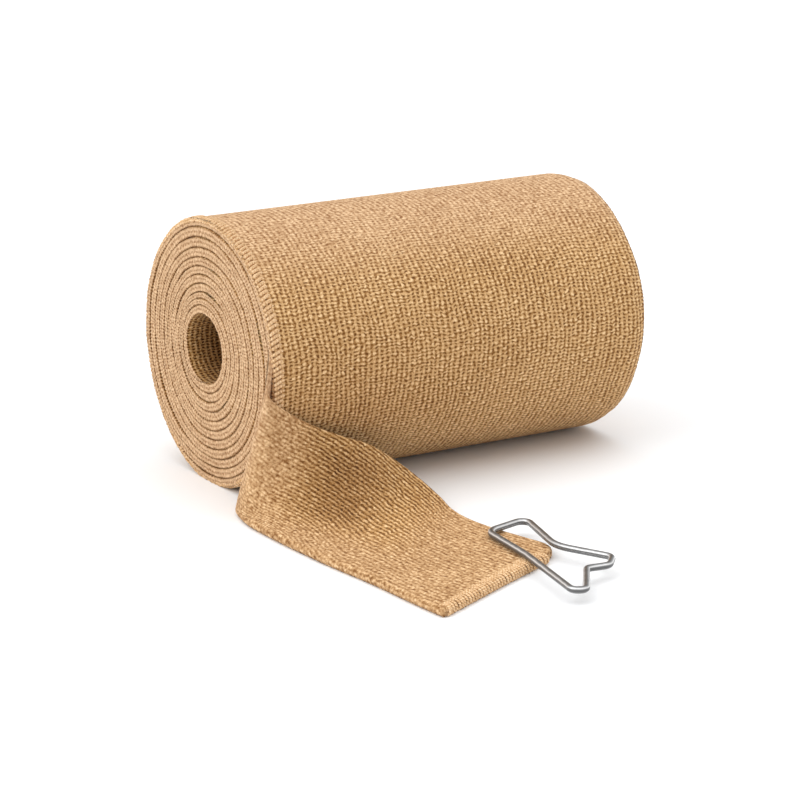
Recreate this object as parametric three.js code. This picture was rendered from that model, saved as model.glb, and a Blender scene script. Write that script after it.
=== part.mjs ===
// An elastic compression bandage, rolled up, with its loose end lying in front and a wire clip on it.
// Millimetres, +Z up. The roll's axis runs along X, and its front faces -Y.
// The origin is the middle of the roll's flat resting strip.

import * as THREE from 'three';

// The wound roll.
const BANDAGE_WIDTH = 100;
const ROLL_RADIUS = 30.6;
const REST_SAG = 0.3; // how far the cloth gives under its own weight, which leaves the flat strip
const CORE_HOLE_RADIUS = 8;
const CORE_HOLE_SHIFT_Y = 2; // the core sits a little behind the middle
const CORE_HOLE_SHIFT_Z = 0.5;
const LEFT_RIM_ROUND = 1.2;
const RIGHT_RIM_ROUND = 2.5;
const HOLE_RIM_ROUND = 0.8;
const ROLL_SEGMENTS = 96;
const ROUND_STEPS = 4;

// The loose end, a sheet of the same cloth.
const CLOTH_THICKNESS = 2;
const PIECE_GAP = 0.3;
const SHEET_STEPS_ALONG = 52;
const SHEET_STEPS_ACROSS = 14;
const EDGE_STEPS = 4;
const SHEET_CORNER_RADIUS = 6;
const HALF_CLOTH = CLOTH_THICKNESS / 2;
const NORMAL_REACH = 0.01; // share of the sheet to each side of a point over which its slope is read
const EDGE_REACH = 0.05; // share of the width behind an edge over which its outward direction is read

// Cross sections of the loose end, from its root at the roll's left rim to its cut end.
// low is the edge on the floor and top the other edge; foot and shoulder bend the cloth between them.
const SHEET_SECTIONS = [
  { low: [-51.3, -17.6, 1], foot: [-51.3, -22.6, 9], shoulder: [-51.3, -27.8, 20.5], top: [-51.3, -28.6, 36] },
  { low: [-53.8, -21.4, 1], foot: [-55, -25.7, 9], shoulder: [-53.8, -30, 19], top: [-52.3, -31, 29.5] },
  { low: [-56.2, -26.8, 1], foot: [-56, -30, 8], shoulder: [-53.4, -32.5, 18], top: [-51.2, -31.9, 26] },
  { low: [-57.6, -33.6, 1], foot: [-53.5, -35.5, 3], shoulder: [-49.5, -34.4, 14], top: [-46.8, -31.8, 22.4] },
  { low: [-57.7, -42, 1], foot: [-51, -41.5, 1], shoulder: [-43, -36.5, 9.5], top: [-40.6, -31.5, 18.6] },
  { low: [-57.5, -50, 1], foot: [-48, -47.5, 1], shoulder: [-36.5, -39.5, 5], top: [-33, -31.3, 15] },
  { low: [-57.1, -57, 1], foot: [-46, -52.5, 1], shoulder: [-30.5, -41, 3], top: [-26.5, -31.2, 12.2] },
  { low: [-56.7, -64, 1], foot: [-44, -57, 1], shoulder: [-26, -43.5, 1.6], top: [-20, -32, 7.6] },
  { low: [-56, -71, 1], foot: [-42.5, -60, 1], shoulder: [-25, -46, 1], top: [-15.8, -35.5, 3.6] },
  { low: [-55.2, -78, 1], foot: [-42, -66, 1], shoulder: [-26.5, -54, 1], top: [-15.3, -43, 1.5] },
  { low: [-54.6, -85, 1], foot: [-42, -74, 1], shoulder: [-28.5, -63, 1], top: [-17.4, -53, 1] },
  { low: [-54.2, -92, 1], foot: [-41.8, -82, 1], shoulder: [-28.5, -71.5, 1], top: [-17.5, -62.2, 1] },
  { low: [-53.7, -98.5, 1], foot: [-40.8, -90.5, 1], shoulder: [-27, -81.5, 1], top: [-15.2, -73.8, 1] },
  { low: [-53, -105.2, 1], foot: [-39.5, -98.5, 1], shoulder: [-25.5, -91.5, 1], top: [-11.8, -85.9, 1] },
];

// The clip, one closed loop of round wire that lies level on the loose end.
const WIRE_RADIUS = 0.75;
const WIRE_STEPS = 120;
const WIRE_SIDES = 8;
const WIRE_LEVEL = CLOTH_THICKNESS + PIECE_GAP + WIRE_RADIUS;
const BEND_STEPS = 9;
const LONGEST_BEND_SHARE = 0.49; // of the straight wire on either side, so that two bends never meet

// Corners of the wire's centre line seen from above, each with the radius it is bent to.
const CLIP_CORNERS = [
  { at: [-20.8, -71.7], bend: 3.6 },
  { at: [-9, -68.6], bend: 1.9 },
  { at: [-13.8, -87.3], bend: 9 },
  { at: [-7.8, -99.5], bend: 2.2 },
  { at: [-11.5, -103.6], bend: 2.2 },
  { at: [-16.8, -102.9], bend: 1.5 },
  { at: [-24.4, -113.9], bend: 2 },
  { at: [-26.9, -112.6], bend: 1.6 },
  { at: [-22.4, -89], bend: 30 },
];

const CLOTH_FINISH = new THREE.MeshStandardMaterial({ color: 0xc79a66, roughness: 0.95, metalness: 0 });
const STEEL_FINISH = new THREE.MeshStandardMaterial({ color: 0x9c9890, roughness: 0.35, metalness: 1 });

function indexedGeometry(points, faces) {
  const geometry = new THREE.BufferGeometry();
  geometry.setAttribute('position', new THREE.Float32BufferAttribute(points.flat(), 3));
  geometry.setIndex(faces.flat());
  return geometry;
}

// Two triangles for each cell between neighbouring rings; the rings and their points both close.
function ringFaces(ringCount, pointCount) {
  const faces = [];
  for (let ring = 0; ring < ringCount; ring += 1) {
    const nextRing = (ring + 1) % ringCount;
    for (let k = 0; k < pointCount; k += 1) {
      const nextK = (k + 1) % pointCount;
      const a = ring * pointCount + k;
      const b = ring * pointCount + nextK;
      const c = nextRing * pointCount + nextK;
      const d = nextRing * pointCount + k;
      faces.push([a, b, c], [a, c, d]);
    }
  }
  return faces;
}

// Points of a quarter round between two turns of the roll's section, as { x, radius, inner }.
function quarterRound(centreX, centreRadius, round, fromAngle, inner) {
  const points = [];
  for (let step = 0; step <= ROUND_STEPS; step += 1) {
    const angle = fromAngle + (step / ROUND_STEPS) * (Math.PI / 2);
    points.push({
      x: centreX + round * Math.cos(angle),
      radius: centreRadius + round * Math.sin(angle),
      inner,
    });
  }
  return points;
}

// The roll's section: along the outside, down the left end, back through the core hole and up the right end.
function rollSection() {
  const half = BANDAGE_WIDTH / 2;
  const holeRim = CORE_HOLE_RADIUS + HOLE_RIM_ROUND;
  return [
    ...quarterRound(half - RIGHT_RIM_ROUND, ROLL_RADIUS - RIGHT_RIM_ROUND, RIGHT_RIM_ROUND, 0, 0),
    ...quarterRound(-half + LEFT_RIM_ROUND, ROLL_RADIUS - LEFT_RIM_ROUND, LEFT_RIM_ROUND, Math.PI / 2, 0),
    ...quarterRound(-half + HOLE_RIM_ROUND, holeRim, HOLE_RIM_ROUND, Math.PI, 1),
    ...quarterRound(half - HOLE_RIM_ROUND, holeRim, HOLE_RIM_ROUND, 1.5 * Math.PI, 1),
  ];
}

function rollGeometry() {
  const axisHeight = ROLL_RADIUS - REST_SAG;
  const section = rollSection();
  const points = [];
  for (const { x, radius, inner } of section) {
    for (let k = 0; k < ROLL_SEGMENTS; k += 1) {
      const angle = (k / ROLL_SEGMENTS) * 2 * Math.PI;
      const y = inner * CORE_HOLE_SHIFT_Y - radius * Math.sin(angle);
      const z = axisHeight + inner * CORE_HOLE_SHIFT_Z - radius * Math.cos(angle);
      points.push([x, y, Math.max(z, 0)]);
    }
  }
  return indexedGeometry(points, ringFaces(section.length, ROLL_SEGMENTS));
}

// The loose end's middle surface: u runs along the cloth from root to cut end, v from low edge to top edge.
function sheetMiddle() {
  const column = (name) => {
    const points = SHEET_SECTIONS.map((row) => new THREE.Vector3(...row[name]));
    return new THREE.CatmullRomCurve3(points, false, 'centripetal');
  };
  const [low, foot, shoulder, top] = ['low', 'foot', 'shoulder', 'top'].map(column);
  return (u, v) => {
    const section = [low, foot, shoulder, top].map((curve) => curve.getPoint(u));
    return new THREE.CubicBezierCurve3(...section).getPoint(v);
  };
}

function sheetNormal(middle, u, v) {
  const along = middle(Math.min(u + NORMAL_REACH, 1), v).sub(middle(Math.max(u - NORMAL_REACH, 0), v));
  const across = middle(u, Math.min(v + NORMAL_REACH, 1)).sub(middle(u, Math.max(v - NORMAL_REACH, 0)));
  return along.cross(across).normalize();
}

// How much of the cloth's width is left at u, so that the cut end's top corner is rounded off.
function cornerTrim(middle, u) {
  const fromCut = middle(1, 1).distanceTo(middle(u, 1));
  if (fromCut >= SHEET_CORNER_RADIUS) {
    return 1;
  }
  const width = middle(u, 0).distanceTo(middle(u, 1));
  const short = SHEET_CORNER_RADIUS - fromCut;
  const inset = SHEET_CORNER_RADIUS - Math.sqrt(SHEET_CORNER_RADIUS ** 2 - short ** 2);
  return 1 - inset / width;
}

// One cross section of the sheet, a flat band with half-round edges, as a closed ring of points.
function sheetRing(middle, u, halfThickness) {
  const ring = [];
  const width = cornerTrim(middle, u);
  const add = (v, side, edge) => {
    const point = middle(u, v * width);
    const normal = sheetNormal(middle, u, v * width);
    const inside = middle(u, v * width + (v > 0.5 ? -EDGE_REACH : EDGE_REACH));
    const outward = point.clone().sub(inside).normalize();
    point.addScaledVector(normal, side * halfThickness).addScaledVector(outward, edge * halfThickness);
    ring.push([point.x, point.y, Math.max(point.z, 0)]);
  };
  for (let k = 0; k <= SHEET_STEPS_ACROSS; k += 1) {
    add(k / SHEET_STEPS_ACROSS, 1, 0);
  }
  for (let k = 1; k < EDGE_STEPS; k += 1) {
    const angle = (k / EDGE_STEPS) * Math.PI;
    add(1, Math.cos(angle), Math.sin(angle));
  }
  for (let k = SHEET_STEPS_ACROSS; k >= 0; k -= 1) {
    add(k / SHEET_STEPS_ACROSS, -1, 0);
  }
  for (let k = 1; k < EDGE_STEPS; k += 1) {
    const angle = Math.PI + (k / EDGE_STEPS) * Math.PI;
    add(0, Math.cos(angle), Math.sin(angle));
  }
  return ring.reverse();
}

// Closes an end ring by joining its upper points to the lower points that face them.
function endCap(ringIndex, ringLength, first) {
  const base = ringIndex * ringLength;
  const faces = [];
  let upper = 0;
  let lower = ringLength - 1;
  while (lower - upper > 1) {
    faces.push([base + upper, base + upper + 1, base + lower]);
    upper += 1;
    if (lower - upper > 1) {
      faces.push([base + upper, base + lower - 1, base + lower]);
      lower -= 1;
    }
  }
  return first ? faces.map(([a, b, c]) => [a, c, b]) : faces;
}

function sheetGeometry() {
  const middle = sheetMiddle();
  const rings = [];
  for (let step = 0; step <= SHEET_STEPS_ALONG; step += 1) {
    rings.push(sheetRing(middle, step / SHEET_STEPS_ALONG, HALF_CLOTH));
  }
  const ringLength = rings[0].length;
  const sides = ringFaces(rings.length, ringLength).slice(0, 2 * (rings.length - 1) * ringLength);
  const root = endCap(0, ringLength, true);
  const cut = endCap(rings.length - 1, ringLength, false);
  return indexedGeometry(rings.flat(), [...sides, ...root, ...cut]);
}

// Points of a true round bend that touches the straight wires at enter and leave and turns inside corner.
function bendPoints(enter, corner, leave, halfAngle) {
  const points = [];
  for (let step = 0; step <= BEND_STEPS; step += 1) {
    const t = step / BEND_STEPS;
    const weights = [(1 - t) ** 2, 2 * (1 - t) * t * Math.sin(halfAngle), t * t];
    const total = weights[0] + weights[1] + weights[2];
    const point = new THREE.Vector3();
    [enter, corner, leave].forEach((vertex, k) => point.addScaledVector(vertex, weights[k] / total));
    points.push(point);
  }
  return points;
}

// The clip's centre line: straight wires between the corners, each corner rounded to its bend.
function clipCentreLine() {
  const path = new THREE.CurvePath();
  const corners = CLIP_CORNERS.map(({ at }) => new THREE.Vector3(at[0], at[1], WIRE_LEVEL));
  const bends = corners.map((corner, k) => {
    const before = corners.at(k - 1).clone().sub(corner);
    const after = corners[(k + 1) % corners.length].clone().sub(corner);
    const halfAngle = before.angleTo(after) / 2;
    const longest = LONGEST_BEND_SHARE * Math.min(before.length(), after.length());
    const reach = Math.min(CLIP_CORNERS[k].bend / Math.tan(halfAngle), longest);
    const enter = corner.clone().add(before.setLength(reach));
    const leave = corner.clone().add(after.setLength(reach));
    return bendPoints(enter, corner, leave, halfAngle);
  });
  const line = bends.flat();
  line.forEach((point, k) => path.add(new THREE.LineCurve3(point, line[(k + 1) % line.length])));
  return path;
}

function clipGeometry() {
  const loop = new THREE.CatmullRomCurve3(clipCentreLine().getSpacedPoints(WIRE_STEPS).slice(0, -1), true);
  return new THREE.TubeGeometry(loop, WIRE_STEPS, WIRE_RADIUS, WIRE_SIDES, true);
}

function namedMesh(name, geometry, material) {
  const mesh = new THREE.Mesh(geometry, material);
  mesh.name = name;
  return mesh;
}

const bandage = new THREE.Group();
bandage.add(namedMesh('bandage_roll', rollGeometry(), CLOTH_FINISH));
bandage.add(namedMesh('loose_end', sheetGeometry(), CLOTH_FINISH));
bandage.add(namedMesh('wire_clip', clipGeometry(), STEEL_FINISH));

export default bandage;
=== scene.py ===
import math

import bpy
import numpy as np
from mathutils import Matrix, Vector


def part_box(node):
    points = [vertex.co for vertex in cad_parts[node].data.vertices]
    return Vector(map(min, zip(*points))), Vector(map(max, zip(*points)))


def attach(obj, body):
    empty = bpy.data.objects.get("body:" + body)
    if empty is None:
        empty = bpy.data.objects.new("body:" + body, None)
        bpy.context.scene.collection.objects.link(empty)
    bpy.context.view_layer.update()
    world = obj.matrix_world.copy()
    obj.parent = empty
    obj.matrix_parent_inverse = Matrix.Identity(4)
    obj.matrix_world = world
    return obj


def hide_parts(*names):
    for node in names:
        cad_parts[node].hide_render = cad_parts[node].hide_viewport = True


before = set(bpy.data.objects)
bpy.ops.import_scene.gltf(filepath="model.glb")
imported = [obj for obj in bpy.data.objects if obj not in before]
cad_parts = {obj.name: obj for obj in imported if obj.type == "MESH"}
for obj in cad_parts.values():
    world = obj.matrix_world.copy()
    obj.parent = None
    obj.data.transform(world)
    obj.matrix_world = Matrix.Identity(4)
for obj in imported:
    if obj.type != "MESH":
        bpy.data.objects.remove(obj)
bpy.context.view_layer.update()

# A rolled elastic bandage with its loose end laid out and a wire clip on it.
# Lengths here are millimetres and become metres when a mesh is made.
# +X runs along the roll, and -Y is the front.
MM = 0.001
TAU = 2 * math.pi
TINY = 1e-4
rng = np.random.default_rng(7)

# The photo's camera. CAMERA_NEAREST is in metres.
CAMERA_AZIMUTH = -31.37
CAMERA_ELEVATION = 15.59
CAMERA_DISTANCE = 736.6
CAMERA_TARGET = (1.01, 0.0, 11.95)
CAMERA_LENS = 141.18
SENSOR_WIDTH = 36.0
CAMERA_NEAREST = 0.01

# The roll, from its solid.
roll_low, roll_high = (np.array(corner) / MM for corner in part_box("bandage_roll"))
ROLL_LEFT = roll_low[0]
ROLL_RIGHT = roll_high[0]
ROLL_RADIUS = (roll_high[1] - roll_low[1]) / 2
AXIS_HEIGHT = roll_high[2] - ROLL_RADIUS

# The winding: its core hole lies a little behind and above the roll's middle. Its first and last turns step
# out within RAMP_SHARE of a turn after the bottom, and those between go out evenly.
CORE_RADIUS = 8.0
CORE_SHIFT = np.array([2.0, 0.5])
TURNS = 11
LAST_PITCH = 1.9
PITCH = (ROLL_RADIUS - LAST_PITCH - CORE_RADIUS) / (TURNS - 1)
STEPPED_FIRST = 2
STEPPED_LAST = 5
RAMP_SHARE = 0.16
OUTER_START = TURNS - 1 + 0.02
OUTER_CELLS = 2
FINE_STEPS = 20000

# The space between two layers, which is wider at the notch, where the last turn comes down the front.
LAYER_GAP = 0.05
GAP_RANGE = (0.03, 0.5)
GAP_LAYER = 1.2
NOTCH_TURN = 10.75
NOTCH_REACH = 0.2
NOTCH_SLOPE = 0.15
NOTCH_GAP = 0.25
THINNEST = 0.1

# The cloth's edges at the roll's two ends: a squared arch over its thickness, with painted shade in the seam
# at each side.
EDGE_REACH = 0.28
EDGE_SHARES = (0, 0.05, 0.14, 0.32, 0.5, 0.68, 0.86, 0.95, 1)
EDGE_SQUARENESS = 3.2
LEFT_INSET = 0.25
LEFT_BOW = 0.25
LEFT_SHIFT = 0.2
RIGHT_INSET = 0.3
BACK_SHARES = (0.97, 0.8, 0.5, 0.2, 0.03)
EDGE_WALES = 2
PLAIN_COLUMNS = 3
# Painted shade in the seams: how far across the edge it reaches, how dark it is, how much lighter where the
# seams lie level, and its random part.
SEAM_SHARE = 0.2
SEAM_DEPTH = 0.26
SEAM_LEVEL_LOSS = 0.22
SEAM_RANDOM = 0.4
BEAD_HEIGHT = 0.09
BEAD_RANDOM = 0.13
BEAD_LEAN = 0.35
EDGE_RANDOM = 0.08
RIGHT_CURL_REACH = 5.0
RIGHT_CURL_DROP = 1.1

# The wall of the core hole, with painted shade that goes dark within CORE_LIGHT_REACH of its two mouths.
CORE_TURNS = 1.05
CORE_LIGHT_REACH = 10.0
CORE_MOUTH_SHADE = 0.7
CORE_SHADE_LOSS = 0.68

# The knit: ribs along the cloth a wale apart, and a stitch in them every course.
WALE = 1.29
COURSE = 0.84
RELIEF = 0.14
RELIEF_MIDDLE = 0.75
RELIEF_RANDOM = 0.15
POINT_RANDOM = 0.05
SLIDE_RANDOM = 0.04
ROW_SHARE = 0.6

# The cloth wears smoothest on the roll's top, and is paler there as a painted sheen. The outer turn lies
# lower under the loops on its left edge, with painted shade there.
WORN_LEAST = 0.15
TOP_WEAR_AND_SHEEN = 0.32
TOP_WEAR_AND_SHEEN_FROM = 1.5
LOOP_BAND = 2.6
LOOP_BAND_SLOPE = 0.5
LOOP_BAND_DROP = 0.15
# LOOP_BAND_SHADE is how much painted shade darkens the cloth under the loops.
LOOP_BAND_SHADE = 0.1

# Slow unevenness, each as its size, the length of its waves and its seed.
GAP_WAVES = (0.9, 25, 11)
SHIFT_WAVES = (0.3, 60, 12)
SHORT_SHIFT_WAVES = (0.12, 9, 15)
RIGHT_WAVES = (0.2, 40, 13)
SEAM_WAVES = (0.2, 11, 19)
BEND_WAVES = (0.25, 13, 16)
SLIDE_WAVES = (0.2, 11, 17)
RIB_WAVES = (0.10, 7, 51)
SHORT_RIB_WAVES = (0.05, 2.5, 52)
COURSE_WAVES = (0.3, 12, 53)
SHORT_COURSE_WAVES = (0.12, 3, 54)
WAVE_COUNT = 6
WAVE_SPREAD = (0.7, 1.6)
STRIP_SEED = 20
TAIL_SEED = 55

# The overlocked loops, round the left rim of the outer turn and over the loose end's cut end. A range is
# what a random value is drawn from, and no loop runs along TUBE_SIDE.
YARN_SIDES = 6
TUBE_SIDE = np.array([0.31, 0.52, 0.79])
LOOP_PITCH = 1.12
RIM_YARN = 0.44
RIM_POINTS = 12
RIM_BEND = 0.9
RIM_INSET = 0.38
RIM_DEPTH = 0.08
RIM_START_SINK = 0.5
RIM_START_SLOPE = (0.2, -0.2)
RIM_END_SINK = 0.3
RIM_END_SLOPE = (0.85, 0.15)
RIM_PLACE_RANGE = (-0.12, 0.12)
RIM_REACH_RANGE = (1.2, 1.9)
RIM_DROP_RANGE = (0.9, 1.5)
RIM_SINK_RANGE = (-0.08, 0.06)
CUT_YARN = 0.33
CUT_POINTS = 15
CUT_BACK = 0.98
CUT_PITCH = 2.0
CUT_STRANDS = (-0.5, 0.5)
CUT_BEND_SHARE = 0.6
CUT_BULGE = 0.7
CUT_HEIGHT = 0.9
CUT_REACH = 1.38
CUT_START = 0.2
CUT_DROP = 0.4
CUT_LEAN_POWER = 1.5
CUT_PLACE_LEAST = 0.01
CUT_PLACES = (0.012, 0.985)
CUT_PLACE_RANGE = (-0.1, 0.1)
CUT_RUN_RANGE = (1.9, 2.7)
CUT_RUN_SPREAD = (-0.25, 0.25)
CUT_LEAN_RANGE = (0.7, 1.1)
CUT_STRAND_RANGE = (-0.06, 0.06)

# The loose end: its middle surface, one row for each section from the roll's rim to the cut end. A row gives
# the edge on the floor, the foot and the shoulder that bend the cloth between the edges, and the top edge.
CLOTH_THICKNESS = 2.0
CORNER_RADIUS = 6.0
SHEET_SECTIONS = [
    ((-51.3, -17.6, 1), (-51.3, -22.6, 9), (-51.3, -27.8, 20.5), (-51.3, -28.6, 36)),
    ((-53.8, -21.4, 1), (-55, -25.7, 9), (-53.8, -30, 19), (-52.3, -31.0, 29.5)),
    ((-56.2, -26.8, 1), (-56, -30, 8), (-53.4, -32.5, 18), (-51.2, -31.9, 26)),
    ((-57.6, -33.6, 1), (-53.5, -35.5, 3), (-49.5, -34.4, 14), (-46.8, -31.8, 22.4)),
    ((-57.7, -42, 1), (-51, -41.5, 1), (-43, -36.5, 9.5), (-40.6, -31.5, 18.6)),
    ((-57.5, -50, 1), (-48, -47.5, 1), (-36.5, -39.5, 5), (-33, -31.3, 15)),
    ((-57.1, -57, 1), (-46, -52.5, 1), (-30.5, -41, 3), (-26.5, -31.2, 12.2)),
    ((-56.7, -64, 1), (-44, -57, 1), (-26, -43.5, 1.6), (-20, -32, 7.6)),
    ((-56, -71, 1), (-42.5, -60, 1), (-25, -46, 1), (-15.8, -35.5, 3.6)),
    ((-55.2, -78, 1), (-42, -66, 1), (-26.5, -54, 1), (-15.3, -43, 1.5)),
    ((-54.6, -85, 1), (-42, -74, 1), (-28.5, -63, 1), (-17.4, -53, 1)),
    ((-54.2, -92, 1), (-41.8, -82, 1), (-28.5, -71.5, 1), (-17.5, -62.2, 1)),
    ((-53.7, -98.5, 1), (-40.8, -90.5, 1), (-27, -81.5, 1), (-15.2, -73.8, 1)),
    ((-53, -105.2, 1), (-39.5, -98.5, 1), (-25.5, -91.5, 1), (-11.8, -85.9, 1)),
]
# About its length and width, by which millimetres become shares of u along it and of v across it.
SHEET_LENGTH = 95.0
SHEET_WIDTH = 45.0
SHEET_STEP = 0.004
TAIL_RIBS = 32
TAIL_RIB_DRIFT = 7.2
TAIL_ROWS = 0.5
SHEET_RINGS = 244
SHEET_COLUMNS = 4 * TAIL_RIBS + 1
SHEET_BACK_COLUMNS = 30
SHEET_EDGE_STEPS = 9
TAIL_RELIEF = 0.2
TAIL_RANDOM = 0.03

# At its root the loose end thins and sinks against the roll, and at its cut end it is blunt.
ROOT_SHARE = 0.13
ROOT_THINNING = 1.5
ROOT_SINK = 1.4
ROOT_SINK_SHARE = 1.1
CUT_ROUNDING = 0.5
CUT_LEAST = 0.05
CUT_FILL = 0.95
CUT_FILL_REACH = 1.6

# Slopes over the loose end, each as the place where it is 0 and how much further on it is 1. They go along
# the cloth or across it by its shares, and those of an edge, loops or a corner by millimetres from there.
DRIFT_SLOPE = (0.27, 0.34)
NECK_SLOPE = (0.06, 0.26)
RIBBED_ALONG = ((0.22, 0.14), (0.82, -0.2))
RIBBED_ACROSS = (0.1, 0.35)
HOLLOW_ALONG = ((0.24, 0.16), (0.62, -0.2))
HOLLOW_ACROSS = ((0.22, 0.25), (1.1, -0.3))
LOW_EDGE_SLOPE = (3.0, -2.0)
CUT_EDGE_SLOPE = (2.8, -0.8)
LOOPS_SLOPE = (2.4, -0.8)
LOW_CORNER_SLOPE = (0.8, 1.2)
TOP_CORNER_SLOPE = (0.3, 1.2)

# How calm its knit is at two edges, how much wear and painted sheen it has, and the painted shade in its
# hollow and under its loops.
LOW_EDGE_CALM = 0.15
CUT_EDGE_CALM = 0.3
TAIL_WEAR_AND_SHEEN = 0.6
NECK_WEAR_AND_SHEEN = 0.08
RIBBED_WEAR_AND_SHEEN_LOSS = 0.43
HOLLOW_SHADE = 0.5
LOOPS_SHADE = 0.35


def smooth(x):
    """0 below 0, 1 above 1 and a smooth slope between."""
    x = np.clip(x, 0, 1)
    return x * x * (3 - 2 * x)


def slope(x, start, length):
    """0 at start and 1 at start + length, smooth between and level beyond. The length may be below 0."""
    return smooth((x - start) / length)


def between(x, slopes):
    """1 between an upward and a downward slope, and 0 outside them."""
    up, down = slopes
    return slope(x, *up) * slope(x, *down)


def unit(vectors):
    """Vectors of the same directions and of length 1."""
    return vectors / np.linalg.norm(vectors, axis=-1, keepdims=True)


def path_distance(path):
    """How far each point of a path is from its start."""
    return np.concatenate([[0], np.cumsum(np.linalg.norm(np.diff(path, axis=0), axis=1))])


def wobble(waves, a, b=0.0):
    """Smooth uneven values over the plane of a and b, from waves of the size, length and seed given."""
    size, length, seed = waves
    local = np.random.default_rng(seed)
    total = np.zeros(np.broadcast(a, b).shape)
    for _ in range(WAVE_COUNT):
        turn = local.uniform(0, TAU)
        rate = TAU / (length * local.uniform(*WAVE_SPREAD))
        total = total + np.sin(rate * (a * math.cos(turn) + b * math.sin(turn)) + local.uniform(0, TAU))
    return size * (total / math.sqrt(WAVE_COUNT))


def knit_height(wales, courses):
    """Height of the knit: 1 on its ribs and on the rows across them, and 0 in the hole between."""
    rib = 0.5 + 0.5 * np.cos(TAU * wales)
    row = 0.5 + 0.5 * np.cos(TAU * courses)
    return np.maximum(rib, ROW_SHARE * row)


def mesh_object(name, points, faces):
    """A smoothly shaded piece through points in millimetres."""
    mesh = bpy.data.meshes.new(name)
    mesh.from_pydata((np.asarray(points) * MM).tolist(), [], faces)
    mesh.validate()
    mesh.shade_smooth()
    piece = bpy.data.objects.new(name, mesh)
    bpy.context.scene.collection.objects.link(piece)
    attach(piece, "root")
    return piece


def set_vectors(piece, name, values):
    layer = piece.data.attributes.new(name, "FLOAT_VECTOR", "POINT")
    layer.data.foreach_set("vector", np.asarray(values, np.float32).reshape(-1))


def set_values(piece, name, values):
    layer = piece.data.attributes.new(name, "FLOAT", "POINT")
    layer.data.foreach_set("value", np.asarray(values, np.float32).reshape(-1))


def cap_faces(base, count, flip):
    """Quads over a ring of count points from number base on, and a triangle if one point is left over."""
    faces = []
    low, high = 0, count - 1
    while high - low > 1:
        face = (base + low, base + high, base + high - 1, base + low + 1)
        if high - low == 2:
            face = (base + low, base + high, base + low + 1)
        faces.append(face[::-1] if flip else face)
        low += 1
        high -= 1
    return faces


def band_faces(rings, count, closed):
    """Quads between rings of count points each, and a cap at each end of an open band."""
    faces = []
    for ring in range(rings if closed else rings - 1):
        here = ring * count
        there = ((ring + 1) % rings) * count
        for k in range(count):
            after = (k + 1) % count
            faces.append((here + k, here + after, there + after, there + k))
    if not closed:
        faces += cap_faces(0, count, False)
        faces += cap_faces((rings - 1) * count, count, True)
    return faces


def band_object(name, rings, knit, closed=False):
    """A closed mesh through rings, an array of shape (rings, points, 3), facing out."""
    count = rings.shape[1]
    piece = mesh_object(name, rings.reshape(-1, 3), band_faces(rings.shape[0], count, closed))
    set_vectors(piece, "knit", knit)
    face_out(piece.data)
    return piece


def face_out(mesh):
    """Turn a closed mesh's faces outwards, by the sign of its volume."""
    points = np.zeros(len(mesh.vertices) * 3, np.float32)
    mesh.vertices.foreach_get("co", points)
    points = points.reshape(-1, 3).astype(float)
    mesh.calc_loop_triangles()
    corners = np.zeros(len(mesh.loop_triangles) * 3, np.int32)
    mesh.loop_triangles.foreach_get("vertices", corners)
    a, b, c = (points[corners.reshape(-1, 3)[:, k]] for k in range(3))
    if np.einsum("ij,ij->i", a, np.cross(b, c)).sum() < 0:
        mesh.flip_normals()


# The winding

def winding_radius(turns):
    """Outside radius of the cloth after so many turns.

    The first and last turns step out close to the bottom, and those between go out evenly.
    """
    whole = np.floor(turns)
    part = turns - whole
    last = slope(whole, TURNS - STEPPED_LAST, STEPPED_LAST - 1)
    first = slope(whole, STEPPED_FIRST, -STEPPED_FIRST)
    stepped = np.maximum(last, first)
    step = stepped * smooth(part / RAMP_SHARE) + (1 - stepped) * part
    return CORE_RADIUS + PITCH * whole + step * np.where(whole >= TURNS - 1, LAST_PITCH, PITCH)


def winding_centre(radius):
    """Y and Z of the middle that a layer of this radius is wound round."""
    share = np.clip((ROLL_RADIUS - radius) / (ROLL_RADIUS - CORE_RADIUS), 0, 1)
    return share * CORE_SHIFT[0], AXIS_HEIGHT + share * CORE_SHIFT[1]


def winding_point(turns, radius, x):
    """A point of the winding, which is at the bottom after whole turns and then goes up the back."""
    angle = TAU * turns
    centre_y, centre_z = winding_centre(radius)
    y = centre_y + radius * np.sin(angle)
    z = centre_z - radius * np.cos(angle)
    return np.stack(np.broadcast_arrays(x, y, np.maximum(z, 0)), -1)


def layer_walls(turns):
    """Outside and inside radius of the cloth's layer, which thins to nothing at the winding's two ends."""
    outside = np.where(turns >= TURNS, ROLL_RADIUS, winding_radius(np.minimum(turns, TURNS - 1e-6)))
    inside = np.where(turns <= 1, CORE_RADIUS, winding_radius(np.maximum(turns - 1, 0)))
    return outside, inside


def even_turns(start, stop):
    """Turns half a course apart along the cloth from start to stop, and the courses up to each of them."""
    fine = np.linspace(0, stop, FINE_STEPS)
    radius = layer_walls(fine)[0]
    steps = (radius[1:] + radius[:-1]) / 2 * np.diff(fine) * TAU
    length = np.concatenate([[0], np.cumsum(steps)])
    half_course = COURSE / 2
    first = int(np.interp(start, fine, length) / half_course)
    halves = np.arange(first, int(length[-1] / half_course) + 1)
    return np.interp(halves * half_course, length, fine), halves / 2


def arch(share):
    """How far the cloth's edge stands out at a share of its thickness, from 0 at its two faces to 1."""
    return (1 - abs(2 * share - 1) ** EDGE_SQUARENESS) ** (1 / EDGE_SQUARENESS)


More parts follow.
